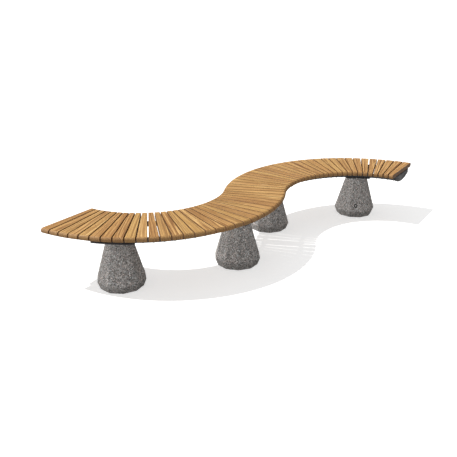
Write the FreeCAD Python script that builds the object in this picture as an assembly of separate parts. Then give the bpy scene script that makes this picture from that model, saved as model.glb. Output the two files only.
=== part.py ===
"""Serpentine backless bench: two equal curved modules of tapered timber slats on steel rails.

Each module is an arc of slats around its own centre of curvature.  The second module is the first
turned half a turn about the middle of the bench, so the seat runs in an S.  The slats are screwed
from below to two curved tubular rails, the rails end in plates that bolt the modules together, and
saddle plates under the rails bolt down to ten-sided concrete feet.

Millimetres.  The origin is on the ground under the middle of the bench, +X runs along the bench
and +Z points up.  A module is drawn around its centre of curvature, with bearings counted from its
own -Y axis towards +X, and then moved to its place.
"""
import FreeCAD, Part
import math
import os

# Seat
SEAT_HEIGHT = 450.0
SEAT_WIDTH = 490.0
MID_RADIUS = 860.0
SLATS_PER_MODULE = 29
SLAT_PITCH = 4.0                  # degrees
SLAT_THICKNESS = 38.0
SLAT_GAP = 8.5
SLAT_EDGE_ROUND = 2.0
SLAT_GROUPS = (5, 4, 4, 3, 4, 4, 5)

# Rails: rolled rectangular tube
RAIL_OFFSET = 150.0               # from the middle of the seat to the middle of a rail
RAIL_WIDTH = 20.0
RAIL_DEPTH = 34.0
RAIL_WALL = 2.5

# Slat screws, driven up through the rails
SCREW_RADIUS = 3.0
SCREW_BITE = 26.0                 # length of shank inside the timber
SCREW_HEAD_RADIUS = 6.0
SCREW_HEAD_HEIGHT = 3.5

# End plates: flat on top, with an arched belly
END_PLATE_THICKNESS = 8.0
END_PLATE_MARGIN = 2.0            # beyond the outer faces of the rails
END_PLATE_BELLY = 34.0            # below the undersides of the rails
END_BOLT_OFFSET = 80.0            # either side of the middle of the seat
END_BOLT_DROP = 28.0              # below the undersides of the slats

# Saddle plates between the rails and the feet
SADDLE_THICKNESS = 8.0
SADDLE_MARGIN = 10.0              # beyond the outer faces of the rails
SADDLE_HALF_ANGLE = 8.4           # degrees
SADDLE_CORNER = 6.0
SCREW_ACCESS_RADIUS = 8.0

# Concrete feet: many-sided, tapering upwards, undercut at the ground, one side facing outwards
FOOT_BEARING = 31.3               # degrees either side of the middle of a module
FOOT_SIDES = 10
FOOT_BASE_RADIUS = 155.0          # to the corners
FOOT_WIDE_RADIUS = 176.0
FOOT_TOP_RADIUS = 84.5
FOOT_UNDERCUT_HEIGHT = 55.0
FOOT_ARRIS = 4.0

# Foot bolts in cast-in sockets, and the structural bolts and washers everywhere
BOLT_RADIUS = 6.0
BOLT_HEAD_HEIGHT = 7.5
BOLT_ACROSS_FLATS = 18.0
NUT_HEIGHT = 10.0
BOLT_END = 4.0                    # thread that shows beyond a nut
WASHER_RADIUS = 12.0
WASHER_THICKNESS = 2.5
FOOT_BOLT_LENGTH = 60.0
SOCKET_RADIUS = 10.0
SOCKET_COVER = 14.0               # concrete between a socket and the edge of a foot's top
SOCKET_LENGTH = 80.0
SOCKET_DEPTH = 65.0

# Transport anchor low on one face of each foot
ANCHOR_HEIGHT = 110.0
ANCHOR_FACE_RADIUS = 16.0
ANCHOR_RING_DEPTH = 12.0
ANCHOR_PROUD = 1.5
ANCHOR_RIM_ROUND = 0.9
ANCHOR_CORE_RADIUS = 6.5
ANCHOR_CORE_LENGTH = 60.0
ANCHOR_DISH = 3.0                 # core set back from the face of its ring
OUTER_ANCHOR_SIDE = 5             # sides of the foot, counted round from the outward one
INNER_ANCHOR_SIDE = 2

# Clearances
HOLE_CLEARANCE = 0.5              # bolts in plain holes
THREAD_CLEARANCE = 0.1            # threads and pressed pieces, drawn as plain cylinders
SCREW_HOLE_CLEARANCE = 0.3

# Levels and angles that follow from the sizes above
SLAT_UNDERSIDE = SEAT_HEIGHT - SLAT_THICKNESS
RAIL_UNDERSIDE = SLAT_UNDERSIDE - RAIL_DEPTH
FOOT_TOP = RAIL_UNDERSIDE - SADDLE_THICKNESS
INNER_EDGE = MID_RADIUS - SEAT_WIDTH / 2
OUTER_EDGE = MID_RADIUS + SEAT_WIDTH / 2
HALF_SWEEP = SLATS_PER_MODULE * SLAT_PITCH / 2
RAIL_RADII = {"outer": MID_RADIUS + RAIL_OFFSET, "inner": MID_RADIUS - RAIL_OFFSET}
RAIL_REACH = RAIL_OFFSET + RAIL_WIDTH / 2
HOLE_RADIUS = BOLT_RADIUS + HOLE_CLEARANCE
OVERRUN = 5.0                     # how far a cutting shape passes what it cuts
SQUARE_ON = 0.9                   # least share of a direction that counts as along an axis
HEXAGON_SIDES = 6

ORIGIN = FreeCAD.Vector(0, 0, 0)
UP = FreeCAD.Vector(0, 0, 1)


def slat_bearings():
    """Bearing of every slat of a module, from the free end to the joint end."""
    return [(i + 0.5) * SLAT_PITCH - HALF_SWEEP for i in range(SLATS_PER_MODULE)]


def at_bearing(shape, bearing):
    """Turn a shape drawn along the +X radius to a bearing of the module."""
    turned = shape.copy()
    turned.rotate(ORIGIN, UP, bearing - 90)
    return turned


def in_module(shape, side):
    """Move a shape from the module's own frame to the left or right half of the bench."""
    sweep = math.radians(HALF_SWEEP)
    placed = shape.copy()
    placed.translate(FreeCAD.Vector(-MID_RADIUS * math.sin(sweep), MID_RADIUS * math.cos(sweep), 0))
    if side == "right":
        placed.rotate(ORIGIN, UP, 180)
    return placed


def solids(shapes):
    """All the solids of several shapes as one group, with none of them fused."""
    return Part.makeCompound([solid for shape in shapes for solid in shape.Solids])


def cylinder(radius, length, x, y, z):
    """Upright cylinder standing on a point."""
    return Part.makeCylinder(radius, length, FreeCAD.Vector(x, y, z))


def hexagon(across_flats, height):
    """Upright hexagonal prism on the origin."""
    corner = across_flats / 2 / math.cos(math.pi / HEXAGON_SIDES)
    angles = [2 * math.pi * i / HEXAGON_SIDES for i in range(HEXAGON_SIDES + 1)]
    points = [FreeCAD.Vector(corner * math.cos(a), corner * math.sin(a), 0) for a in angles]
    return Part.Face(Part.makePolygon(points)).extrude(FreeCAD.Vector(0, 0, height))


def arc_bar(inner, outer, low, high, half_angle):
    """Bar of rectangular section rolled about the module's axis, centred on the +X radius."""
    section = [FreeCAD.Vector(inner, 0, low), FreeCAD.Vector(outer, 0, low),
               FreeCAD.Vector(outer, 0, high), FreeCAD.Vector(inner, 0, high),
               FreeCAD.Vector(inner, 0, low)]
    bar = Part.Face(Part.makePolygon(section)).revolve(ORIGIN, UP, 2 * half_angle)
    bar.rotate(ORIGIN, UP, -half_angle)
    return bar


# --- Timber -----------------------------------------------------------------------------------

def slat_half_width(radius):
    """Half the width of a slat at a radius: a share of the pitch less a constant gap."""
    half_pitch = math.radians(SLAT_PITCH / 2)
    return radius * math.tan(half_pitch) - SLAT_GAP / 2 / math.cos(half_pitch)


def make_slat():
    """One tapered slat with half-round noses, eased edges and blind pilot holes."""
    nose = SLAT_THICKNESS / 2
    middle = SLAT_UNDERSIDE + nose
    low_in = FreeCAD.Vector(INNER_EDGE + nose, 0, SLAT_UNDERSIDE)
    low_out = FreeCAD.Vector(OUTER_EDGE - nose, 0, SLAT_UNDERSIDE)
    top_in = FreeCAD.Vector(INNER_EDGE + nose, 0, SEAT_HEIGHT)
    top_out = FreeCAD.Vector(OUTER_EDGE - nose, 0, SEAT_HEIGHT)
    outline = Part.Wire([
        Part.makeLine(low_in, low_out),
        Part.Arc(low_out, FreeCAD.Vector(OUTER_EDGE, 0, middle), top_out).toShape(),
        Part.makeLine(top_out, top_in),
        Part.Arc(top_in, FreeCAD.Vector(INNER_EDGE, 0, middle), low_in).toShape(),
    ])
    blank_half = slat_half_width(OUTER_EDGE) + OVERRUN
    blank = Part.Face(outline).extrude(FreeCAD.Vector(0, 2 * blank_half, 0))
    blank.translate(FreeCAD.Vector(0, -blank_half, 0))

    near = INNER_EDGE - OVERRUN
    far = OUTER_EDGE + OVERRUN
    plan = [FreeCAD.Vector(near, -slat_half_width(near), 0), FreeCAD.Vector(far, -slat_half_width(far), 0),
            FreeCAD.Vector(far, slat_half_width(far), 0), FreeCAD.Vector(near, slat_half_width(near), 0),
            FreeCAD.Vector(near, -slat_half_width(near), 0)]
    taper = Part.Face(Part.makePolygon(plan)).extrude(FreeCAD.Vector(0, 0, SEAT_HEIGHT + OVERRUN))
    slat = blank.common(taper).Solids[0]

    side_faces = [face for face in slat.Faces if abs(face.normalAt(0, 0).y) > SQUARE_ON]
    slat = slat.makeFillet(SLAT_EDGE_ROUND, [edge for face in side_faces for edge in face.Edges])
    pilots = [cylinder(SCREW_RADIUS + THREAD_CLEARANCE, OVERRUN + SCREW_BITE + OVERRUN,
                       radius, 0, SLAT_UNDERSIDE - OVERRUN) for radius in RAIL_RADII.values()]
    return slat.cut(pilots).Solids[0]


def make_slat_groups():
    """The module's slats in groups, counted from the free end."""
    slat = make_slat()
    slats = [at_bearing(slat, bearing) for bearing in slat_bearings()]
    groups = []
    start = 0
    for count in SLAT_GROUPS:
        groups.append(solids(slats[start:start + count]))
        start += count
    return groups


# --- Steel frame ------------------------------------------------------------------------------

def make_end_plate(end):
    """Plate that closes the rails at the free end (-1) or the joint end (+1) of a module."""
    reach = RAIL_REACH + END_PLATE_MARGIN
    top_left = FreeCAD.Vector(MID_RADIUS - reach, 0, SLAT_UNDERSIDE)
    top_right = FreeCAD.Vector(MID_RADIUS + reach, 0, SLAT_UNDERSIDE)
    low_left = FreeCAD.Vector(MID_RADIUS - reach, 0, RAIL_UNDERSIDE)
    low_right = FreeCAD.Vector(MID_RADIUS + reach, 0, RAIL_UNDERSIDE)
    belly = FreeCAD.Vector(MID_RADIUS, 0, RAIL_UNDERSIDE - END_PLATE_BELLY)
    outline = Part.Wire([
        Part.makeLine(low_right, top_right),
        Part.makeLine(top_right, top_left),
        Part.makeLine(top_left, low_left),
        Part.Arc(low_left, belly, low_right).toShape(),
    ])
    plate = Part.Face(outline).extrude(FreeCAD.Vector(0, -end * END_PLATE_THICKNESS, 0))
    for offset in (-END_BOLT_OFFSET, END_BOLT_OFFSET):
        start = FreeCAD.Vector(MID_RADIUS + offset, end * OVERRUN, SLAT_UNDERSIDE - END_BOLT_DROP)
        plate = plate.cut(Part.makeCylinder(HOLE_RADIUS, END_PLATE_THICKNESS + 2 * OVERRUN, start,
                                            FreeCAD.Vector(0, -end, 0)))
    return at_bearing(plate, end * HALF_SWEEP)


def make_end_slab(end):
    """The layer that an end plate takes up, cut from everything that butts against the plate."""
    slab = Part.makeBox(2 * OUTER_EDGE, END_PLATE_THICKNESS, SEAT_HEIGHT)
    slab.translate(FreeCAD.Vector(0, -END_PLATE_THICKNESS if end > 0 else 0, 0))
    return at_bearing(slab, end * HALF_SWEEP)


def make_rail(radius):
    """Curved tube between the end plates, drilled for one screw under each slat."""
    half = RAIL_WIDTH / 2
    outside = arc_bar(radius - half, radius + half, RAIL_UNDERSIDE, SLAT_UNDERSIDE, HALF_SWEEP)
    inside = arc_bar(radius - half + RAIL_WALL, radius + half - RAIL_WALL,
                     RAIL_UNDERSIDE + RAIL_WALL, SLAT_UNDERSIDE - RAIL_WALL, HALF_SWEEP)
    drill = cylinder(SCREW_RADIUS + SCREW_HOLE_CLEARANCE, RAIL_DEPTH + 2 * OVERRUN,
                     radius, 0, RAIL_UNDERSIDE - OVERRUN)
    cutters = [at_bearing(drill, bearing) for bearing in slat_bearings()]
    rail = at_bearing(outside.cut(inside), 0).cut(cutters + [make_end_slab(-1), make_end_slab(1)])
    return rail.Solids[0]


def make_saddle(bearing):
    """Sector plate under both rails, with bolt holes for the foot and holes past the screw heads."""
    reach = RAIL_REACH + SADDLE_MARGIN
    plate = arc_bar(MID_RADIUS - reach, MID_RADIUS + reach, FOOT_TOP, RAIL_UNDERSIDE, SADDLE_HALF_ANGLE)
    upright = [edge for edge in plate.Edges if abs(edge.tangentAt(edge.FirstParameter).z) > SQUARE_ON]
    plate = plate.makeFillet(SADDLE_CORNER, upright)
    plate = at_bearing(plate.cut([cylinder(HOLE_RADIUS, SADDLE_THICKNESS + 2 * OVERRUN, x, y,
                                           FOOT_TOP - OVERRUN) for x, y in foot_bolt_points()]), bearing)
    access = [at_bearing(cylinder(SCREW_ACCESS_RADIUS, SADDLE_THICKNESS + 2 * OVERRUN, radius, 0,
                                  FOOT_TOP - OVERRUN), slat_bearing)
              for radius in RAIL_RADII.values() for slat_bearing in slat_bearings()]
    return plate.cut(access).Solids[0]


# --- Concrete feet ----------------------------------------------------------------------------

def foot_ring(radius, height):
    """Corners of one level of a foot, with a side facing along +X."""
    step = 360.0 / FOOT_SIDES
    return [FreeCAD.Vector(radius * math.cos(math.radians((i + 0.5) * step)),
                           radius * math.sin(math.radians((i + 0.5) * step)), height)
            for i in range(FOOT_SIDES)]


def foot_apothem(height):
    """Distance from a foot's axis to its sloping sides, above the undercut."""
    share = (height - FOOT_UNDERCUT_HEIGHT) / (FOOT_TOP - FOOT_UNDERCUT_HEIGHT)
    corner = FOOT_WIDE_RADIUS + share * (FOOT_TOP_RADIUS - FOOT_WIDE_RADIUS)
    return corner * math.cos(math.pi / FOOT_SIDES)


def make_foot_body():
    """Many-sided block, undercut at the ground and tapering to the top, with rounded arrises."""
    rings = [foot_ring(FOOT_BASE_RADIUS, 0), foot_ring(FOOT_WIDE_RADIUS, FOOT_UNDERCUT_HEIGHT),
             foot_ring(FOOT_TOP_RADIUS, FOOT_TOP)]
    body = Part.makeLoft([Part.makePolygon(ring + ring[:1]) for ring in rings], True, True)
    arrises = [edge for edge in body.Edges if edge.BoundBox.ZMax > FOOT_UNDERCUT_HEIGHT / 2]
    return body.makeFillet(FOOT_ARRIS, arrises).Solids[0]


def foot_bolt_points(centre=MID_RADIUS):
    """Places of a foot's four bolts about its middle, in a square set in from the top's edge."""
    offset = (foot_apothem(FOOT_TOP) - SOCKET_COVER - SOCKET_RADIUS) / math.sqrt(2)
    return [(centre + i * offset, j * offset) for i in (-1, 1) for j in (-1, 1)]


def anchor_frame(shape, side):
    """Turn a shape drawn along +Z out of one sloping side of a foot, at the anchor's place."""
    lean = math.degrees(math.atan2(foot_apothem(FOOT_UNDERCUT_HEIGHT) - foot_apothem(FOOT_TOP),
                                   FOOT_TOP - FOOT_UNDERCUT_HEIGHT))
    placed = shape.copy()
    placed.rotate(ORIGIN, FreeCAD.Vector(0, 1, 0), 90 - lean)
    placed.translate(FreeCAD.Vector(foot_apothem(ANCHOR_HEIGHT), 0, ANCHOR_HEIGHT))
    placed.rotate(ORIGIN, UP, side * 360.0 / FOOT_SIDES)
    return placed


def make_anchor_ring():
    """Plastic ring around the anchor's core, a little proud of the concrete, with a dished mouth."""
    height = ANCHOR_RING_DEPTH + ANCHOR_PROUD
    ring = cylinder(ANCHOR_FACE_RADIUS, height, 0, 0, -ANCHOR_RING_DEPTH)
    ring = ring.makeFillet(ANCHOR_RIM_ROUND, [edge for edge in ring.Edges if edge.BoundBox.ZMin > 0])
    return ring.cut(cylinder(ANCHOR_CORE_RADIUS + THREAD_CLEARANCE, height + 2 * OVERRUN, 0, 0,
                             -ANCHOR_RING_DEPTH - OVERRUN))


def make_anchor_core():
    """Steel core of the anchor, set back from the ring's face."""
    return cylinder(ANCHOR_CORE_RADIUS, ANCHOR_CORE_LENGTH - ANCHOR_DISH, 0, 0, -ANCHOR_CORE_LENGTH)


def make_foot_set(bearing, anchor_side):
    """A foot with its sockets, bolts, washers and anchor, each in its own shape."""
    points = foot_bolt_points(0.0)
    anchor_hole = cylinder(ANCHOR_FACE_RADIUS + THREAD_CLEARANCE, ANCHOR_RING_DEPTH + OVERRUN, 0, 0,
                           -ANCHOR_RING_DEPTH)
    core_hole = cylinder(ANCHOR_CORE_RADIUS + THREAD_CLEARANCE, ANCHOR_CORE_LENGTH, 0, 0,
                         -ANCHOR_CORE_LENGTH)
    holes = [cylinder(SOCKET_RADIUS, SOCKET_LENGTH + OVERRUN, x, y, FOOT_TOP - SOCKET_LENGTH)
             for x, y in points]
    holes += [anchor_frame(hole, anchor_side) for hole in (anchor_hole, core_hole)]

    socket = cylinder(SOCKET_RADIUS, SOCKET_LENGTH, 0, 0, FOOT_TOP - SOCKET_LENGTH)
    socket = socket.cut(cylinder(BOLT_RADIUS + THREAD_CLEARANCE, SOCKET_DEPTH + OVERRUN, 0, 0,
                                 FOOT_TOP - SOCKET_DEPTH))
    seat = RAIL_UNDERSIDE + WASHER_THICKNESS
    washer = cylinder(WASHER_RADIUS, WASHER_THICKNESS, 0, 0, RAIL_UNDERSIDE)
    washer = washer.cut(cylinder(HOLE_RADIUS, WASHER_THICKNESS, 0, 0, RAIL_UNDERSIDE))
    head = hexagon(BOLT_ACROSS_FLATS, BOLT_HEAD_HEIGHT)
    head.translate(FreeCAD.Vector(0, 0, seat))
    bolt = head.fuse(cylinder(BOLT_RADIUS, FOOT_BOLT_LENGTH, 0, 0, seat - FOOT_BOLT_LENGTH))

    def at_points(shape):
        copies = []
        for x, y in points:
            copies.append(shape.copy())
            copies[-1].translate(FreeCAD.Vector(x, y, 0))
        return solids(copies)

    pieces = {
        "foot": make_foot_body().cut(holes),
        "sockets": at_points(socket),
        "bolts": at_points(bolt),
        "washers": at_points(washer),
        "anchor_ring": anchor_frame(make_anchor_ring(), anchor_side),
        "anchor_core": anchor_frame(make_anchor_core(), anchor_side),
    }
    for piece in pieces.values():
        piece.translate(FreeCAD.Vector(MID_RADIUS, 0, 0))
    return {name: at_bearing(piece, bearing) for name, piece in pieces.items()}


# --- Fasteners --------------------------------------------------------------------------------

def make_rail_screws(radius):
    """One screw per slat: a pan head under the rail and a plain shank up into the timber."""
    shank = cylinder(SCREW_RADIUS, RAIL_DEPTH + SCREW_BITE, radius, 0, RAIL_UNDERSIDE)
    head = cylinder(SCREW_HEAD_RADIUS, SCREW_HEAD_HEIGHT, radius, 0, RAIL_UNDERSIDE - SCREW_HEAD_HEIGHT)
    screw = shank.fuse(head)
    return solids([at_bearing(screw, bearing) for bearing in slat_bearings()])


def make_joint_fasteners():
    """Bolts, washers and nuts that clamp the two joint-end plates face to face."""
    grip = END_PLATE_THICKNESS + WASHER_THICKNESS
    length = 2 * grip + NUT_HEIGHT + BOLT_END
    head = hexagon(BOLT_ACROSS_FLATS, BOLT_HEAD_HEIGHT)
    head.translate(FreeCAD.Vector(0, 0, -grip - BOLT_HEAD_HEIGHT))
    bolt = head.fuse(cylinder(BOLT_RADIUS, length, 0, 0, -grip))
    washer = cylinder(WASHER_RADIUS, WASHER_THICKNESS, 0, 0, END_PLATE_THICKNESS)
    washer = washer.cut(cylinder(HOLE_RADIUS, WASHER_THICKNESS, 0, 0, END_PLATE_THICKNESS))
    head_washer = washer.copy()
    head_washer.translate(FreeCAD.Vector(0, 0, -2 * END_PLATE_THICKNESS - WASHER_THICKNESS))
    nut = hexagon(BOLT_ACROSS_FLATS, NUT_HEIGHT).cut(
        cylinder(BOLT_RADIUS + THREAD_CLEARANCE, NUT_HEIGHT, 0, 0, 0))
    nut.translate(FreeCAD.Vector(0, 0, grip))
    pieces = {"joint_bolts": [bolt], "joint_washers": [washer, head_washer], "joint_nuts": [nut]}

    placed = {}
    for name, shapes in pieces.items():
        copies = []
        for shape in shapes:
            for offset in (-END_BOLT_OFFSET, END_BOLT_OFFSET):
                copy = shape.copy()
                copy.rotate(ORIGIN, FreeCAD.Vector(1, 0, 0), -90)
                copy.translate(FreeCAD.Vector(MID_RADIUS + offset, 0, SLAT_UNDERSIDE - END_BOLT_DROP))
                copies.append(at_bearing(copy, HALF_SWEEP))
        placed[name] = in_module(solids(copies), "left")
    return placed


# --- Assembly ---------------------------------------------------------------------------------

def make_module():
    """Every named piece of one module, in the module's own frame."""
    pieces = {}
    for number, group in enumerate(make_slat_groups(), start=1):
        pieces[f"slats_{number}"] = group
    for name, radius in RAIL_RADII.items():
        pieces[f"{name}_rail"] = make_rail(radius)
        pieces[f"{name}_rail_screws"] = make_rail_screws(radius)
    pieces["free_end_plate"] = make_end_plate(-1)
    pieces["joint_end_plate"] = make_end_plate(1)
    feet = {"outer": (-FOOT_BEARING, OUTER_ANCHOR_SIDE), "inner": (FOOT_BEARING, INNER_ANCHOR_SIDE)}
    for name, (bearing, anchor_side) in feet.items():
        pieces[f"{name}_saddle_plate"] = make_saddle(bearing)
        for part_name, shape in make_foot_set(bearing, anchor_side).items():
            label = f"{name}_foot" if part_name == "foot" else f"{name}_foot_{part_name}"
            pieces[label] = shape
    return pieces


def main():
    os.makedirs("parts", exist_ok=True)
    module = make_module()
    nodes = {f"{side}_{name}": in_module(shape, side)
             for side in ("left", "right") for name, shape in module.items()}
    nodes.update(make_joint_fasteners())
    for name, shape in nodes.items():
        shape.exportStep(f"parts/{name}.step")


main()
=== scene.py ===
"""Serpentine backless bench: oiled hardwood slats on charcoal steel, with exposed-aggregate feet.

Metres throughout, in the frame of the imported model: origin on the ground under the middle of the
bench, +X along it, +Z up.  The right half is the left half turned half a turn about Z.
"""

import math

import bmesh
import bpy
import numpy as np
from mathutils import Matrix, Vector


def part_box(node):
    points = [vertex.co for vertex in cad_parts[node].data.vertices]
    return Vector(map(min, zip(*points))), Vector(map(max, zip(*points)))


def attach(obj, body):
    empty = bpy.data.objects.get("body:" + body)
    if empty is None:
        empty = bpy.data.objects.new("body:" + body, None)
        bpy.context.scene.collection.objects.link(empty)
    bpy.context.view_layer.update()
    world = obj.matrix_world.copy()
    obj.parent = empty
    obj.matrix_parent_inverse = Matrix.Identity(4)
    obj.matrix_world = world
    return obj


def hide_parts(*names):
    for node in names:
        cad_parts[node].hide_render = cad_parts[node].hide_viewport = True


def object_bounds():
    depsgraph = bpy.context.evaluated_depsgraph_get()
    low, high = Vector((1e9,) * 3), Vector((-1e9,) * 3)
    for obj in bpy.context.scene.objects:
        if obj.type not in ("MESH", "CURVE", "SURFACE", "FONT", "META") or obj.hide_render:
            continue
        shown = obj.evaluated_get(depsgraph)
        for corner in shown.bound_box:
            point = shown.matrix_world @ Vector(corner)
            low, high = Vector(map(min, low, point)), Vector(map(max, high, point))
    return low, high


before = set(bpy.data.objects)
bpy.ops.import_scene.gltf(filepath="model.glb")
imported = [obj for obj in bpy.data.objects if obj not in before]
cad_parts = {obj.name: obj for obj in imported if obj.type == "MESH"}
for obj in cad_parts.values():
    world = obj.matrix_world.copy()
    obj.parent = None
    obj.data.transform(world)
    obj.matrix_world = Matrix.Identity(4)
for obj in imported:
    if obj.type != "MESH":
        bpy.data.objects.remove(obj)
CAD_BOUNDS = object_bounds()

SIDES = ("left", "right")

# Seat
SEAT_TOP = CAD_BOUNDS[1][2]
MID_RADIUS = 0.860
SEAT_WIDTH = 0.490
SLAT_PITCH = math.radians(4.0)
SLATS_PER_MODULE = 29
SLAT_THICKNESS = 0.038
SLAT_GAP = 0.0085
SLAT_EDGE_ROUND = 0.0022
SLAT_GROUPS = (5, 4, 4, 3, 4, 4, 5)
NOSE_INSET = 0.0001

# How far one slat differs from the next: hollow across, sunk, tilted, and grain out of line
SLAT_CUP = 0.0004
SLAT_SINK = 0.0006
SLAT_TILT = 0.002
GRAIN_LEAN = 0.03

# One module: an arc about its own centre
HALF_SWEEP = SLATS_PER_MODULE * SLAT_PITCH / 2
MODULE_CENTRE = np.array([-MID_RADIUS * math.sin(HALF_SWEEP), MID_RADIUS * math.cos(HALF_SWEEP)])

# Rails
RAIL_OFFSET = 0.150
RAIL_WIDTH = 0.020
RAIL_DEPTH = 0.034
RAIL_CORNER = 0.003
END_PLATE_THICKNESS = 0.008

# Feet: polygons with one side facing outwards; radii are to the corners
FOOT_BEARING = math.radians(31.3)
FOOT_SIDES = 10
FOOT_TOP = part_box("left_outer_foot")[1][2]
FOOT_BASE_RADIUS = 0.155
FOOT_WIDE_RADIUS = 0.176
FOOT_TOP_RADIUS = 0.0845
FOOT_UNDERCUT = 0.055
FOOT_RIM = 0.012
FOOT_LUMP = 0.0003

# Distance to a side over distance to a corner, and how far a side leans in as it rises
SIDE_SHARE = math.cos(math.pi / FOOT_SIDES)
FOOT_SLOPE = (FOOT_WIDE_RADIUS - FOOT_TOP_RADIUS) * SIDE_SHARE / (FOOT_TOP - FOOT_UNDERCUT)

# Transport anchor, on a side counted round from the outward one
ANCHOR_HEIGHT = 0.110
ANCHOR_SIDE = {"outer": 5, "inner": 2}
ANCHOR_REACH = 0.0145
ANCHOR_CORE = 0.0085
ANCHOR_DEPTH = 0.010

# Light
KEY_HEADING = (0.230, -0.110, -0.430)
KEY_STRENGTH = 3.1
KEY_SPREAD = math.radians(0.5)
KEY_TINT = (1.0, 0.985, 0.96)
FILL_STRENGTH = 0.39

# Low lights that cast no shadow: name, bearing and height in degrees, strength
SIDE_LIGHTS = (("back_left", 152.0, 12.0, 1.85),
               ("front_left", 205.0, 8.0, 0.42),
               ("front", 285.0, 8.0, 0.46))

# Floor: how pale it looks, how pale it is to the light it throws back, and how much it glows
FLOOR_SEEN = 0.90
FLOOR_LIT = 0.45
FLOOR_GLOW = 0.415
FLOOR_REACH = 150.0

# Camera: place, degrees below level and round from +X, lens and sensor in millimetres
CAMERA_PLACE = (-2.166, -4.163, 1.951)
CAMERA_DIP = 21.27
CAMERA_BEARING = 65.02
CAMERA_LENS = 49.3
CAMERA_SENSOR = 36.0
CAMERA_SIGHT = 500.0


# --- Placing ----------------------------------------------------------------------------------

def turn(points, angle):
    """Points turned about Z: x cos a - y sin a, x sin a + y cos a."""
    c, s = math.cos(angle), math.sin(angle)
    x, y, z = points.T
    return np.column_stack([c * x - s * y, s * x + c * y, z])


def in_bench(points, side):
    """Points of a module, drawn about its centre of curvature, moved to their half of the bench."""
    placed = points + np.array([*MODULE_CENTRE, 0.0])
    return turn(placed, math.pi) if side == "right" else placed


def radial(bearing):
    """Angle from +X of the radius at a bearing, which is counted from the module's -Y axis."""
    return bearing - math.pi / 2


# --- Meshes -----------------------------------------------------------------------------------

def loop_quads(rows, columns):
    """Quads of a grid of rows by columns whose columns close on themselves."""
    row, column = np.meshgrid(np.arange(rows - 1), np.arange(columns), indexing="ij")
    here = row * columns + column
    beside = row * columns + (column + 1) % columns
    return np.column_stack([here.ravel(), beside.ravel(), (beside + columns).ravel(),
                            (here + columns).ravel()])


def add_object(name, data):
    """An object at the origin that holds a mesh, a light or a camera."""
    made = bpy.data.objects.new(name, data)
    bpy.context.scene.collection.objects.link(made)
    return made


def new_mesh(name, verts, quads, caps):
    """Mesh object at the origin: smooth quads and flat caps, with its faces turned outwards."""
    mesh = bpy.data.meshes.new(name)
    mesh.from_pydata(verts, [], [*quads.tolist(), *[list(cap) for cap in caps]])
    smooth = np.ones(len(mesh.polygons), bool)
    smooth[len(quads):] = False
    mesh.polygons.foreach_set("use_smooth", smooth)
    work = bmesh.new()
    work.from_mesh(mesh)
    bmesh.ops.recalc_face_normals(work, faces=work.faces)
    work.to_mesh(mesh)
    work.free()
    return add_object(name, mesh)


def vector_attribute(piece, name, values):
    """A vector per vertex that the piece's materials read by name."""
    layer = piece.data.attributes.new(name, "FLOAT_VECTOR", "POINT")
    layer.data.foreach_set("vector", np.asarray(values, np.float32).ravel())


def finish_piece(piece, material, slot, *nodes):
    """Gives a piece its material and its place in the frame."""
    piece.data.materials.clear()
    piece.data.materials.append(material)
    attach(piece, "root")
    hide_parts(*nodes)


# --- Node helpers -----------------------------------------------------------------------------

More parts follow.
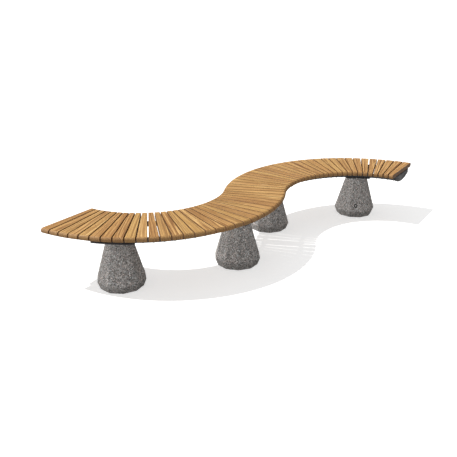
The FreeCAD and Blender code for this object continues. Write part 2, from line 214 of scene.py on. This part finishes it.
class Nodes:
    """Short-hand for laying out one node tree."""

    def __init__(self, tree):
        self.tree = tree

    def add(self, kind, values=(), links=(), **settings):
        """A node with its settings, its socket values and its incoming links."""
        node = self.tree.nodes.new(kind)
        for name, value in settings.items():
            setattr(node, name, value)
        for key, value in dict(values).items():
            node.inputs[key].default_value = value
        for key, source in dict(links).items():
            self.tree.links.new(source, node.inputs[key])
        return node

    def math(self, operation, first, second=None):
        """A Math node of one or two inputs, each a number or a socket."""
        node = self.add("ShaderNodeMath", operation=operation)
        for index, source in enumerate((first, second)):
            if isinstance(source, (int, float)):
                node.inputs[index].default_value = source
            elif source is not None:
                self.tree.links.new(source, node.inputs[index])
        return node.outputs[0]

    def mix(self, factor, first, second, blend="MIX"):
        """A colour Mix node; each input is a number, a colour or a socket."""
        node = self.add("ShaderNodeMix", data_type="RGBA", blend_type=blend)
        for index, source in ((0, factor), (6, first), (7, second)):
            if isinstance(source, (int, float)):
                node.inputs[index].default_value = source
            elif isinstance(source, tuple):
                node.inputs[index].default_value = (*source, 1.0)
            else:
                self.tree.links.new(source, node.inputs[index])
        return node.outputs[2]

    def ramp(self, source, stops):
        """A colour ramp through (position, colour) stops."""
        node = self.add("ShaderNodeValToRGB", links={"Fac": source})
        elements = node.color_ramp.elements
        while len(elements) < len(stops):
            elements.new(0.5)
        for element, (position, colour) in zip(elements, stops):
            element.position = position
            element.color = (*colour, 1.0)
        return node.outputs[0]

    def spread(self, source, low, high):
        """Maps low..high to 0..1, clamped."""
        node = self.add("ShaderNodeMapRange", {"From Min": low, "From Max": high}, {"Value": source})
        return node.outputs[0]

    def noise(self, vector, scale, detail, roughness=0.5):
        """Noise texture at a scale per metre of its vector."""
        node = self.add("ShaderNodeTexNoise", {"Scale": scale, "Detail": detail, "Roughness": roughness},
                        {"Vector": vector})
        return node.outputs["Fac"]

    def scaled(self, source, factor):
        """A value times a number or another value."""
        return self.math("MULTIPLY", source, factor)

    def overlaid(self, colour, mask, share, paint):
        """A colour with a paint laid over it where a mask is up, to at most a share."""
        return self.mix(self.scaled(mask, share), colour, paint)

    def bump(self, height, strength, distance):
        """The normal of a surface raised by a height, over a distance in metres."""
        node = self.add("ShaderNodeBump", {"Strength": strength, "Distance": distance}, {"Height": height})
        return node.outputs[0]

    def place(self):
        """Object coordinates, in metres."""
        return self.add("ShaderNodeTexCoord").outputs["Object"]

    def weathering(self, vector, patch_scale, speck_scale):
        """The shared weathering masks at two scales per metre: broad patches, then fine specks."""
        node = self.add("ShaderNodeGroup", {"Patch Scale": patch_scale, "Speck Scale": speck_scale},
                        {"Vector": vector}, node_tree=WEATHERING)
        return node.outputs["Patches"], node.outputs["Specks"]

    def surface(self, shader, colour, roughness, normal=None):
        """Links what a material works out to its shader."""
        self.tree.links.new(colour, shader.inputs["Base Color"])
        self.tree.links.new(roughness, shader.inputs["Roughness"])
        if normal is not None:
            self.tree.links.new(normal, shader.inputs["Normal"])


def new_group(name, inputs, outputs):
    """An empty shader node group with named sockets; returns its helper, input node and output node."""
    tree = bpy.data.node_groups.new(name, "ShaderNodeTree")
    for socket, kind, value in inputs:
        made = tree.interface.new_socket(socket, in_out="INPUT", socket_type=kind)
        if value is not None:
            made.default_value = value
    for socket, kind in outputs:
        tree.interface.new_socket(socket, in_out="OUTPUT", socket_type=kind)
    nodes = Nodes(tree)
    return nodes, nodes.add("NodeGroupInput"), nodes.add("NodeGroupOutput")


def new_material(name, **sockets):
    """A material with one Principled BSDF whose constant sockets are set; returns it with its nodes."""
    material = bpy.data.materials.new(name)
    material.use_nodes = True
    nodes = Nodes(material.node_tree)
    shader = material.node_tree.nodes["Principled BSDF"]
    for socket, value in sockets.items():
        shader.inputs[socket.replace("_", " ")].default_value = value
    return material, nodes, shader


# --- Shared effects ---------------------------------------------------------------------------

def make_weathering():
    """Broad stains and fine dirt that several finishes share, as two masks."""
    nodes, given, result = new_group(
        "weathering",
        [("Vector", "NodeSocketVector", None), ("Patch Scale", "NodeSocketFloat", 9.0),
         ("Speck Scale", "NodeSocketFloat", 400.0)],
        [("Patches", "NodeSocketFloat"), ("Specks", "NodeSocketFloat")])
    patch = nodes.add("ShaderNodeTexNoise", {"Detail": 3.0, "Roughness": 0.6},
                      {"Vector": given.outputs["Vector"], "Scale": given.outputs["Patch Scale"]})
    speck = nodes.add("ShaderNodeTexNoise", {"Detail": 1.0, "Roughness": 0.5},
                      {"Vector": given.outputs["Vector"], "Scale": given.outputs["Speck Scale"]})
    link = nodes.tree.links.new
    link(nodes.spread(patch.outputs["Fac"], 0.35, 0.7), result.inputs["Patches"])
    link(nodes.spread(speck.outputs["Fac"], 0.55, 0.75), result.inputs["Specks"])
    return nodes.tree


WEATHERING = make_weathering()


# --- Timber -----------------------------------------------------------------------------------

TIMBER_TONES = [(0.14, (0.180, 0.071, 0.017)), (0.36, (0.350, 0.171, 0.050)),
                (0.58, (0.570, 0.330, 0.115)), (0.88, (0.820, 0.555, 0.250))]
TIMBER_CASTS = [(0.0, (1.01, 0.98, 0.96)), (0.45, (1.0, 1.0, 1.0)),
                (0.75, (0.99, 1.02, 0.94)), (1.0, (1.0, 0.98, 0.98))]
DARK_LINE = (0.150, 0.060, 0.016)
PORE = (0.12, 0.050, 0.016)
# End grain on the noses, dark and light; its darkness is painted shade as well as end grain
END_GRAIN_AND_SHADE = ((0.070, 0.032, 0.011), (0.330, 0.180, 0.070))
OIL_STAIN = (0.22, 0.12, 0.045)
# Painted shade for the slats' side faces, down in the gaps
SIDE_FACE_SHADE = (0.105, 0.044, 0.013)
# Painted highlight for the eased top edges
EDGE_HIGHLIGHT = (0.66, 0.46, 0.22)
RINGS_PER_METRE = 210.0


def make_timber():
    """Oiled hardwood.

    The grain attribute holds a slat's own coordinates: along it, then across and up from the heart
    of its tree.  Growth rings are a noise of the distance from the heart, bent by a slow noise, so
    they run as long figures on the faces and as arcs on the noses.  The slat attribute holds masks
    of the eased edges and of the noses, and a tone for each slat.  The edge mask lays painted shade
    on the side faces and a painted highlight along the eased top edges, and the nose mask lays end
    grain darkened further as painted shade.
    """
    material, nodes, shader = new_material("oiled_hardwood", Specular_IOR_Level=0.35)
    grain = nodes.add("ShaderNodeAttribute", attribute_name="grain").outputs["Vector"]
    slat = nodes.add("ShaderNodeAttribute", attribute_name="slat").outputs["Vector"]
    edge, nose, tone = nodes.add("ShaderNodeSeparateXYZ", links={0: slat}).outputs
    _, across, up = nodes.add("ShaderNodeSeparateXYZ", links={0: grain}).outputs

    def stretched(shrink, scale, detail, roughness):
        """Noise drawn out along the slat."""
        mapped = nodes.add("ShaderNodeMapping", {"Scale": (shrink, 1.0, 1.0)}, {"Vector": grain})
        return nodes.noise(mapped.outputs[0], scale, detail, roughness)

    bend = nodes.scaled(nodes.math("SUBTRACT", stretched(0.10, 14.0, 2.0, 0.5), 0.5), 0.030)
    squares = nodes.math("ADD", nodes.scaled(across, across), nodes.scaled(up, up))
    distance = nodes.math("ADD", nodes.math("SQRT", squares), bend)
    year = nodes.add("ShaderNodeTexNoise", {"Scale": 1.0, "Detail": 2.5, "Roughness": 0.62},
                     {"W": nodes.scaled(distance, RINGS_PER_METRE)}, noise_dimensions="1D")
    rings = nodes.spread(year.outputs["Fac"], 0.30, 0.72)
    fibres = stretched(0.012, 620.0, 3.0, 0.65)
    streaks = stretched(0.02, 130.0, 2.0, 0.55)
    pores = nodes.spread(stretched(0.03, 1500.0, 1.0, 0.5), 0.62, 0.70)

    bands = nodes.scaled(nodes.spread(streaks, 0.28, 0.72), 0.32)
    figure = nodes.math("ADD", nodes.scaled(fibres, 0.24), bands)
    figure = nodes.math("ADD", nodes.scaled(rings, 0.42), figure)
    figure = nodes.math("ADD", figure, nodes.scaled(nodes.math("SUBTRACT", tone, 0.5), 0.10))
    colour = nodes.ramp(figure, TIMBER_TONES)
    colour = nodes.mix(1.0, colour, nodes.ramp(tone, TIMBER_CASTS), "MULTIPLY")
    lines = nodes.spread(stretched(0.006, 185.0, 1.0, 0.5), 0.57, 0.68)
    colour = nodes.overlaid(colour, lines, 0.70, DARK_LINE)
    colour = nodes.overlaid(colour, pores, 0.45, PORE)
    # Noses: end-grain streaks, and a darker tone that is painted shade as well as end grain
    end_grain = nodes.add("ShaderNodeMapping", {"Scale": (0.0, 1.0, 0.10)}, {"Vector": grain})
    ticks = nodes.spread(nodes.noise(end_grain.outputs[0], 330.0, 2.0, 0.6), 0.36, 0.66)
    colour = nodes.overlaid(colour, nose, 0.78, nodes.mix(ticks, *END_GRAIN_AND_SHADE))
    stains, _ = nodes.weathering(grain, 5.0, 260.0)
    colour = nodes.overlaid(colour, stains, 0.12, OIL_STAIN)
    # Painted shade: the slats' side faces, in the shaded gaps, laid dark from the edge mask
    sides = nodes.spread(edge, 0.30, 0.95)
    colour = nodes.overlaid(colour, sides, 0.90, SIDE_FACE_SHADE)
    # Painted highlight: the eased top edges lightened in streaks, as where light catches them
    edge_highlight = nodes.scaled(nodes.spread(edge, 0.02, 0.30), nodes.math("SUBTRACT", 1.0, sides))
    edge_highlight = nodes.scaled(edge_highlight, nodes.spread(streaks, 0.35, 0.65))
    colour = nodes.overlaid(colour, edge_highlight, 0.10, EDGE_HIGHLIGHT)

    rough = nodes.math("ADD", nodes.scaled(fibres, 0.18), nodes.scaled(nose, 0.12))
    rough = nodes.math("ADD", rough, nodes.scaled(rings, -0.08))
    relief = nodes.math("ADD", nodes.scaled(fibres, 0.5), nodes.scaled(rings, 0.35))
    relief = nodes.math("SUBTRACT", relief, nodes.scaled(pores, 0.6))
    nodes.surface(shader, colour, nodes.math("ADD", rough, 0.46), nodes.bump(relief, 0.55, 0.0006))
    return material


def slat_stadium(straight, turns):
    """Side view of a slat, as a loop: two straights joined by half-round noses.

    Returns x, z and the outward normal.  A straight holds `straight` steps and a nose `turns`
    steps of a half circle.
    """
    nose = SLAT_THICKNESS / 2
    inner = MID_RADIUS - SEAT_WIDTH / 2 + nose + NOSE_INSET
    outer = MID_RADIUS + SEAT_WIDTH / 2 - nose - NOSE_INSET
    middle = SEAT_TOP - nose
    share = np.arange(straight) / straight
    swing = np.pi * np.arange(turns) / turns
    x = np.concatenate([inner + share * (outer - inner), outer + nose * np.sin(swing),
                        outer + share * (inner - outer), inner - nose * np.sin(swing)])
    z = np.concatenate([np.full(straight, middle + nose), middle + nose * np.cos(swing),
                        np.full(straight, middle - nose), middle - nose * np.cos(swing)])
    flat = np.zeros(straight)
    normal_x = np.concatenate([flat, np.sin(swing), flat, -np.sin(swing)])
    normal_z = np.concatenate([flat + 1, np.cos(swing), flat - 1, -np.cos(swing)])
    return x, z, normal_x, normal_z


def slat_points(chance):
    """One slat along +X, as rows of the side-view loop carried across its width.

    In the middle rows the loop keeps its full size.  In the outer rows it shrinks inwards by
    r (1 - cos t) while it moves out by r sin t, which eases the long edges with radius r.  The half
    width grows with the radius, less half the gap.  Returns the points, the grain coordinates and
    the edge, nose and tone masks.
    """
    x, z, normal_x, normal_z = slat_stadium(straight=16, turns=12)
    steps = 5
    swing = np.pi / 2 * np.arange(steps, -1, -1) / steps
    flats = np.array([-0.93, -0.6, -0.2, 0.2, 0.6, 0.93])
    round_in = np.concatenate([1 - np.cos(swing), np.zeros(len(flats)), 1 - np.cos(swing[::-1])])
    round_out = np.concatenate([-np.sin(swing), np.zeros(len(flats)), np.sin(swing[::-1])])
    sides = np.concatenate([np.full(steps + 1, -1.0), flats, np.full(steps + 1, 1.0)])
    edge = np.concatenate([np.sin(swing), np.zeros(len(flats)), np.sin(swing[::-1])])

    easing = SLAT_EDGE_ROUND * chance.uniform(0.92, 1.2)
    px = x - easing * round_in[:, None] * normal_x
    pz = z - easing * round_in[:, None] * normal_z
    half = SLAT_PITCH / 2
    half_width = px * math.tan(half) - SLAT_GAP / 2 / math.cos(half)
    py = sides[:, None] * (half_width - easing) + easing * round_out[:, None]

    cup = SLAT_CUP * chance.uniform(-0.2, 1.0)
    pz = pz - cup * (py / half_width.max()) ** 2 - chance.uniform(0.0, SLAT_SINK)
    tilt = chance.uniform(-SLAT_TILT, SLAT_TILT)
    pz = pz + tilt * py - abs(tilt) * half_width.max()
    points = np.column_stack([px.ravel(), py.ravel(), pz.ravel()])

    heart = np.array([chance.uniform(0, 40), chance.uniform(-0.09, 0.09), chance.uniform(-0.16, -0.03)])
    grain = points - np.array([0, 0, SEAT_TOP]) + heart * np.array([1, -1, -1])
    lean = chance.uniform(-GRAIN_LEAN, GRAIN_LEAN)
    grain[:, 1] += lean * (points[:, 0] - MID_RADIUS)
    nose_mask = np.broadcast_to(np.abs(normal_x), px.shape).ravel()
    edge_mask = np.broadcast_to(edge[:, None], px.shape).ravel()
    tone = np.full(len(points), chance.uniform(0, 1))
    return points, grain, np.column_stack([edge_mask, nose_mask, tone]), px.shape


def make_slats(material):
    """Every slat group of both modules, each piece with its slats as separate shells."""
    chance = np.random.default_rng(29)
    bearings = (np.arange(SLATS_PER_MODULE) + 0.5) * SLAT_PITCH - HALF_SWEEP
    for side in SIDES:
        start = 0
        for number, count in enumerate(SLAT_GROUPS, start=1):
            verts, grains, masks, quads, caps = [], [], [], [], []
            for bearing in bearings[start:start + count]:
                points, grain, mask, (rows, columns) = slat_points(chance)
                first = len(verts) * rows * columns
                verts.append(in_bench(turn(points, radial(bearing)), side))
                grains.append(grain)
                masks.append(mask)
                quads.append(loop_quads(rows, columns) + first)
                caps.append(np.arange(columns) + first)
                caps.append(np.arange(columns) + first + (rows - 1) * columns)
            node = f"{side}_slats_{number}"
            piece = new_mesh(f"timber_{node}", np.vstack(verts), np.vstack(quads), caps)
            vector_attribute(piece, "grain", np.vstack(grains))
            vector_attribute(piece, "slat", np.vstack(masks))
            finish_piece(piece, material, "timber", node)
            start += count


# --- Concrete ---------------------------------------------------------------------------------

STONE_TONES = [(0.0, (0.055, 0.053, 0.052)), (0.16, (0.150, 0.142, 0.138)),
               (0.42, (0.360, 0.338, 0.325)), (0.70, (0.530, 0.496, 0.474)),
               (0.88, (0.74, 0.70, 0.67)), (1.0, (0.86, 0.83, 0.80))]
STONE_CASTS = [(0.0, (0.90, 1.0, 1.06)), (0.5, (1.0, 1.0, 1.0)), (1.0, (1.12, 0.98, 0.94))]
GRIT_TONES = [(0.0, (0.085, 0.082, 0.080)), (0.55, (0.270, 0.258, 0.247)), (1.0, (0.58, 0.56, 0.53))]
MORTAR = (0.150, 0.143, 0.138)
GREY_STAIN = (0.20, 0.19, 0.18)
PIT = (0.045, 0.043, 0.043)
# Painted shade for the undercut of a foot, near the base
UNDERCUT_SHADE = (0.10, 0.094, 0.086)


def make_concrete():
    """Exposed aggregate: stones of mixed greys packed in a darker mortar, with the odd pit, and painted
    shade over the undercut.
    """
    material, nodes, shader = new_material("exposed_aggregate", Specular_IOR_Level=0.30)
    place = nodes.place()
    warp = nodes.add("ShaderNodeTexNoise", {"Scale": 160.0, "Detail": 2.0}, {"Vector": place})
    shake = nodes.add("ShaderNodeVectorMath", {1: (0.5, 0.5, 0.5)}, {0: warp.outputs["Color"]},
                      operation="SUBTRACT")
    shake = nodes.add("ShaderNodeVectorMath", {3: 0.006}, {0: shake.outputs[0]}, operation="SCALE")
    bent = nodes.add("ShaderNodeVectorMath", links={0: place, 1: shake.outputs[0]}, operation="ADD")

    def stones(scale):
        """Three tones for each packed stone, and the distance to its edge."""
        cell = nodes.add("ShaderNodeTexVoronoi", {"Scale": scale}, {"Vector": bent.outputs[0]})
        rim = nodes.add("ShaderNodeTexVoronoi", {"Scale": scale}, {"Vector": bent.outputs[0]},
                        feature="DISTANCE_TO_EDGE")
        tone = nodes.add("ShaderNodeSeparateColor", links={0: cell.outputs["Color"]})
        return tone.outputs, rim.outputs["Distance"]

    tone, rim = stones(135.0)
    fine_tone, fine_rim = stones(300.0)
    coarse = nodes.ramp(tone[0], STONE_TONES)
    coarse = nodes.mix(1.0, coarse, nodes.ramp(tone[1], STONE_CASTS), "MULTIPLY")
    bed = nodes.mix(nodes.spread(fine_rim, 0.02, 0.10), MORTAR, nodes.ramp(fine_tone[0], GRIT_TONES))
    colour = nodes.mix(nodes.spread(rim, 0.06, 0.16), bed, coarse)
    patches, specks = nodes.weathering(place, 7.0, 190.0)
    colour = nodes.overlaid(colour, patches, 0.20, GREY_STAIN)
    colour = nodes.overlaid(colour, specks, 0.55, PIT)
    height = nodes.add("ShaderNodeSeparateXYZ", links={0: place}).outputs[2]
    # Painted shade: darker over the undercut, fading out between 50 and 62 mm up
    colour = nodes.overlaid(colour, nodes.spread(height, 0.062, 0.050), 0.30, UNDERCUT_SHADE)

    grit_relief = nodes.scaled(nodes.spread(fine_rim, 0.0, 0.2), 0.3)
    relief = nodes.math("ADD", nodes.spread(rim, 0.0, 0.22), grit_relief)
    relief = nodes.math("SUBTRACT", relief, nodes.scaled(specks, 0.9))
    rough = nodes.math("ADD", nodes.scaled(tone[2], -0.22), 0.86)
    nodes.surface(shader, colour, rough, nodes.bump(relief, 0.8, 0.0010))
    return material


def foot_profile(spacing):
    """Upright outline of a foot as (corner radius, height), from the base to the top.

    Three straight runs: up the undercut, up the taper and a little way in over the top.  A moving
    average along the outline rounds the corners between them.
    """
    corners = np.array([[FOOT_BASE_RADIUS - FOOT_RIM, 0.0], [FOOT_BASE_RADIUS, 0.0],
                        [FOOT_WIDE_RADIUS, FOOT_UNDERCUT], [FOOT_TOP_RADIUS, FOOT_TOP],
                        [FOOT_TOP_RADIUS - FOOT_RIM, FOOT_TOP]])
    travel = np.concatenate([[0], np.cumsum(np.hypot(*np.diff(corners, axis=0).T))])
    finer, window = 6, 11
    places = np.arange(0, travel[-1], spacing / finer)
    outline = np.column_stack([np.interp(places, travel, corners[:, i]) for i in (0, 1)])
    kernel = np.ones(window) / window
    ends = ((window // 2, window // 2), (0, 0))
    padded = np.pad(outline, ends, mode="edge")
    smooth = np.column_stack([np.convolve(padded[:, i], kernel, mode="valid") for i in (0, 1)])
    return smooth[::finer]


def polygon_reach(angle, sharpness):
    """Distance from the middle to a rounded regular polygon whose sides lie at unit distance.

    One over the p-norm of the cosines to the sides: a large p gives sharp corners, and a smaller
    one rounds them.
    """
    sides = 2 * math.pi * np.arange(FOOT_SIDES) / FOOT_SIDES
    facing = np.clip(np.cos(angle[:, None] - sides), 0, None)
    return (facing ** sharpness).sum(axis=1) ** (-1 / sharpness)


def lumps(points, size, chance, waves=40):
    """Even roughness of about unit height: the mean of many plane waves of seeded direction."""
    heading = chance.normal(size=(waves, 3))
    heading *= (2 * math.pi / size / np.linalg.norm(heading, axis=1))[:, None]
    heading *= chance.uniform(0.6, 1.5, size=(waves, 1))
    return np.cos(points @ heading.T + chance.uniform(0, 2 * math.pi, waves)).sum(axis=1) / math.sqrt(waves)


def anchor_dip(points, name):
    """How far each point dips to leave room for the anchor's core, and which way is outwards there."""
    face = 2 * math.pi * ANCHOR_SIDE[name] / FOOT_SIDES
    share = (ANCHOR_HEIGHT - FOOT_UNDERCUT) / (FOOT_TOP - FOOT_UNDERCUT)
    corner = FOOT_WIDE_RADIUS + share * (FOOT_TOP_RADIUS - FOOT_WIDE_RADIUS)
    outwards = np.array([math.cos(face), math.sin(face), FOOT_SLOPE]) / math.hypot(1, FOOT_SLOPE)
    anchor = np.array([math.cos(face), math.sin(face), 0]) * corner * SIDE_SHARE
    anchor[2] = ANCHOR_HEIGHT
    offset = points - anchor
    beside = offset - np.outer(offset @ outwards, outwards)
    aside = np.where(offset @ outwards > -0.03, np.linalg.norm(beside, axis=1), 1.0)
    return np.clip((ANCHOR_REACH - aside) / (ANCHOR_REACH - ANCHOR_CORE), 0, 1) * ANCHOR_DEPTH, outwards


def foot_points(name, chance):
    """A foot about its own axis, one side along +X, as rings stacked up its profile.

    Each ring is the rounded polygon scaled to the profile.  The skin is set back by up to about a
    millimetre of lumps, which fade out at the base and the top, and it dips at the anchor.
    """
    profile = foot_profile(spacing=0.0032)
    around = 2 * math.pi * np.arange(360) / 360
    reach = polygon_reach(around, sharpness=700.0) * SIDE_SHARE
    radius = profile[:, :1] * reach
    height = np.broadcast_to(profile[:, 1:], radius.shape)
    points = np.column_stack([(radius * np.cos(around)).ravel(), (radius * np.sin(around)).ravel(),
                              height.ravel()])

    relief = sum(np.abs(lumps(points, size, chance)) * FOOT_LUMP for size in (0.018, 0.009))
    fade = np.clip(np.minimum(points[:, 2], FOOT_TOP - points[:, 2]) / 0.006, 0, 1)
    dip, outwards = anchor_dip(points, name)
    skin = np.column_stack([points[:, :2] / np.linalg.norm(points[:, :2], axis=1)[:, None],
                            np.full(len(points), FOOT_SLOPE)])
    points = points - skin * (relief * fade * (dip == 0))[:, None] - np.outer(dip, outwards)
    return points, radius.shape


def make_feet(material):
    """The four feet, two to a module, standing under the seat's middle line."""
    chance = np.random.default_rng(8)
    for side in SIDES:
        for name, bearing in (("outer", -FOOT_BEARING), ("inner", FOOT_BEARING)):
            points, (rows, columns) = foot_points(name, chance)
            placed = in_bench(turn(points + np.array([MID_RADIUS, 0, 0]), radial(bearing)), side)
            caps = [np.arange(columns), np.arange(columns) + (rows - 1) * columns]
            node = f"{side}_{name}_foot"
            piece = new_mesh(f"concrete_{node}", placed, loop_quads(rows, columns), caps)
            finish_piece(piece, material, "concrete", node)


# --- Steel and small parts ----------------------------------------------------------------------

COAT_TONES = ((0.026, 0.025, 0.028), (0.054, 0.052, 0.056))
DUST = (0.20, 0.18, 0.155)
BRIGHT_STEEL = (0.56, 0.55, 0.54)
TEA_STAIN = (0.36, 0.31, 0.26)
BLACK_POLYMER = (0.022, 0.021, 0.021)
GREYED_POLYMER = (0.07, 0.066, 0.06)


def make_powder_coat():
    """Charcoal powder coat: fine orange peel, slight dust on what faces up."""
    material, nodes, shader = new_material("charcoal_powder_coat", Specular_IOR_Level=0.45)
    place = nodes.place()
    patches, specks = nodes.weathering(place, 11.0, 700.0)
    normal = nodes.add("ShaderNodeNewGeometry").outputs["Normal"]
    upwards = nodes.add("ShaderNodeSeparateXYZ", links={0: normal}).outputs[2]
    dust = nodes.scaled(nodes.spread(upwards, 0.3, 1.0), patches)
    colour = nodes.mix(nodes.scaled(specks, 0.5), *COAT_TONES)
    colour = nodes.overlaid(colour, dust, 0.35, DUST)
    rough = nodes.math("ADD", nodes.scaled(patches, 0.14), 0.42)
    nodes.surface(shader, colour, rough, nodes.bump(nodes.noise(place, 900.0, 1.0), 0.35, 0.0002))
    return material


def make_stainless():
    """Stainless steel with fine scratches and a little tea staining."""
    material, nodes, shader = new_material("stainless_steel", Metallic=1.0)
    place = nodes.place()
    patches, _ = nodes.weathering(place, 60.0, 900.0)
    rough = nodes.math("ADD", nodes.scaled(nodes.noise(place, 1400.0, 2.0), 0.22), 0.22)
    nodes.surface(shader, nodes.overlaid(BRIGHT_STEEL, patches, 0.35, TEA_STAIN), rough)
    return material


def make_black_plastic():
    """Matt black polymer, greyed a little by dust."""
    material, nodes, shader = new_material("black_polymer", Specular_IOR_Level=0.4)
    patches, specks = nodes.weathering(nodes.place(), 90.0, 900.0)
    rough = nodes.math("ADD", nodes.scaled(specks, 0.2), 0.55)
    nodes.surface(shader, nodes.overlaid(BLACK_POLYMER, patches, 0.4, GREYED_POLYMER), rough)
    return material


def make_rails(material):
    """Rolled tubes: a rounded rectangle carried along the arc between the end plates.

    The section is the rectangle less its corner radius, plus that radius along each outward normal.
    The tube stops at the inner faces of the end plates, so its last stations are set back along the
    tangent by the plate's thickness.
    """
    steps = 6
    swing = np.pi / 2 * np.arange(steps + 1) / steps
    signs = [(1, 1, 0), (-1, 1, 1), (-1, -1, 2), (1, -1, 3)]
    section = np.vstack([np.column_stack([
        sx * (RAIL_WIDTH / 2 - RAIL_CORNER) + RAIL_CORNER * np.cos(swing + quarter * np.pi / 2),
        sz * (RAIL_DEPTH / 2 - RAIL_CORNER) + RAIL_CORNER * np.sin(swing + quarter * np.pi / 2)])
        for sx, sz, quarter in signs])
    middle = SEAT_TOP - SLAT_THICKNESS - RAIL_DEPTH / 2
    for side in SIDES:
        for name, offset in (("outer", RAIL_OFFSET), ("inner", -RAIL_OFFSET)):
            radius = MID_RADIUS + offset + section[:, 0]
            reach = HALF_SWEEP - np.arcsin(END_PLATE_THICKNESS / radius)
            share = np.linspace(-1, 1, 121)[:, None]
            angle = radial(share * reach)
            points = np.column_stack([(radius * np.cos(angle)).ravel(), (radius * np.sin(angle)).ravel(),
                                      np.broadcast_to(middle + section[:, 1], angle.shape).ravel()])
            columns = len(section)
            caps = [np.arange(columns), np.arange(columns) + (len(share) - 1) * columns]
            node = f"{side}_{name}_rail"
            piece = new_mesh(f"steel_{node}", in_bench(points, side), loop_quads(len(share), columns), caps)
            finish_piece(piece, material, "frame_steel", node)


def softened(node, material, slot, width):
    """A plate or fastener as cast in the frame, merged and given rounded edges."""
    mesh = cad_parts[node].data.copy()
    mesh.name = f"eased_{node}"
    work = bmesh.new()
    work.from_mesh(mesh)
    bmesh.ops.remove_doubles(work, verts=work.verts, dist=1e-6)
    bmesh.ops.dissolve_limit(work, angle_limit=math.radians(0.5), verts=work.verts, edges=work.edges)
    work.to_mesh(mesh)
    work.free()
    piece = add_object(mesh.name, mesh)
    bevel = piece.modifiers.new("eased edges", "BEVEL")
    bevel.width = width
    bevel.segments = 2
    bevel.limit_method = "ANGLE"
    bevel.angle_limit = math.radians(35)
    bevel.harden_normals = True
    mesh.polygons.foreach_set("use_smooth", np.ones(len(mesh.polygons), bool))
    finish_piece(piece, material, slot, node)


def make_small_parts(coat, stainless, plastic):
    """Plates, fasteners and anchors, each with edges eased to suit its size."""
    for node in sorted(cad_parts):
        if node.endswith(("end_plate", "saddle_plate")):
            softened(node, coat, "frame_steel", 0.0012)
        elif node.endswith(("bolts", "nuts")):
            softened(node, stainless, "fastener_steel", 0.0009)
        elif node.endswith(("washers", "screws")):
            softened(node, stainless, "fastener_steel", 0.0004)
        elif node.endswith("anchor_core"):
            softened(node, stainless, "fastener_steel", 0.0010)
        elif node.endswith("anchor_ring"):
            softened(node, plastic, "anchor_plastic", 0.0006)
        elif node.endswith("sockets"):
            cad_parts[node].data.materials.clear()
            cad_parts[node].data.materials.append(stainless)


# --- Stage --------------------------------------------------------------------------------------

def by_viewer(nodes, seen, lit):
    """A value that is `seen` where the stage is looked at and `lit` where it lights the bench."""
    path = nodes.add("ShaderNodeLightPath")
    share = nodes.math("MULTIPLY", path.outputs["Is Camera Ray"], seen - lit)
    return nodes.math("ADD", share, lit)


def make_floor():
    """A plain pale floor, wide enough to fill the view."""
    signs = ((-1, -1), (1, -1), (1, 1), (-1, 1))
    mesh = bpy.data.meshes.new("floor")
    mesh.from_pydata([(x * FLOOR_REACH, y * FLOOR_REACH, 0) for x, y in signs], [], [(0, 1, 2, 3)])
    floor = add_object("floor", mesh)
    material, nodes, shader = new_material("pale_floor", Roughness=0.9, Specular_IOR_Level=0.0,
                                           Emission_Color=(1.0, 1.0, 1.0, 1.0))
    link = nodes.tree.links.new
    link(by_viewer(nodes, FLOOR_SEEN, FLOOR_LIT), shader.inputs["Base Color"])
    link(by_viewer(nodes, FLOOR_GLOW, 0.0), shader.inputs["Emission Strength"])
    mesh.materials.append(material)


def make_light():
    """A high key from behind the left end, low lights that cast no shadow, and even light all round."""
    key = bpy.data.lights.new("key", "SUN")
    key.energy = KEY_STRENGTH
    key.angle = KEY_SPREAD
    key.color = KEY_TINT
    east, north, up = KEY_HEADING
    turned = (0, -math.atan2(math.hypot(east, north), -up), math.atan2(north, east))
    add_object("key", key).rotation_euler = turned
    for name, bearing, height, strength in SIDE_LIGHTS:
        side_light = bpy.data.lights.new(name, "SUN")
        side_light.energy = strength
        side_light.use_shadow = False
        turned = (0, math.radians(90 - height), math.radians(bearing))
        add_object(name, side_light).rotation_euler = turned
    world = bpy.data.worlds.new("studio")
    bpy.context.scene.world = world
    world.use_nodes = True
    backdrop = world.node_tree.nodes["Background"]
    backdrop.inputs["Color"].default_value = (1.0, 1.0, 1.0, 1.0)
    nodes = Nodes(world.node_tree)
    nodes.tree.links.new(by_viewer(nodes, 1.0, FILL_STRENGTH), backdrop.inputs["Strength"])


def make_camera():
    """The viewing angle: to the left front of the bench, looking down a little over twenty degrees."""
    camera = bpy.data.cameras.new("view")
    camera.lens = CAMERA_LENS
    camera.sensor_width = CAMERA_SENSOR
    camera.clip_end = CAMERA_SIGHT
    holder = add_object("view", camera)
    holder.location = CAMERA_PLACE
    holder.rotation_euler = (math.radians(90 - CAMERA_DIP), 0, math.radians(CAMERA_BEARING - 90))
    bpy.context.scene.camera = holder


bpy.context.scene.view_settings.view_transform = "Standard"
make_slats(make_timber())
make_feet(make_concrete())
POWDER_COAT = make_powder_coat()
make_rails(POWDER_COAT)
make_small_parts(POWDER_COAT, make_stainless(), make_black_plastic())
make_floor()
make_light()
make_camera()
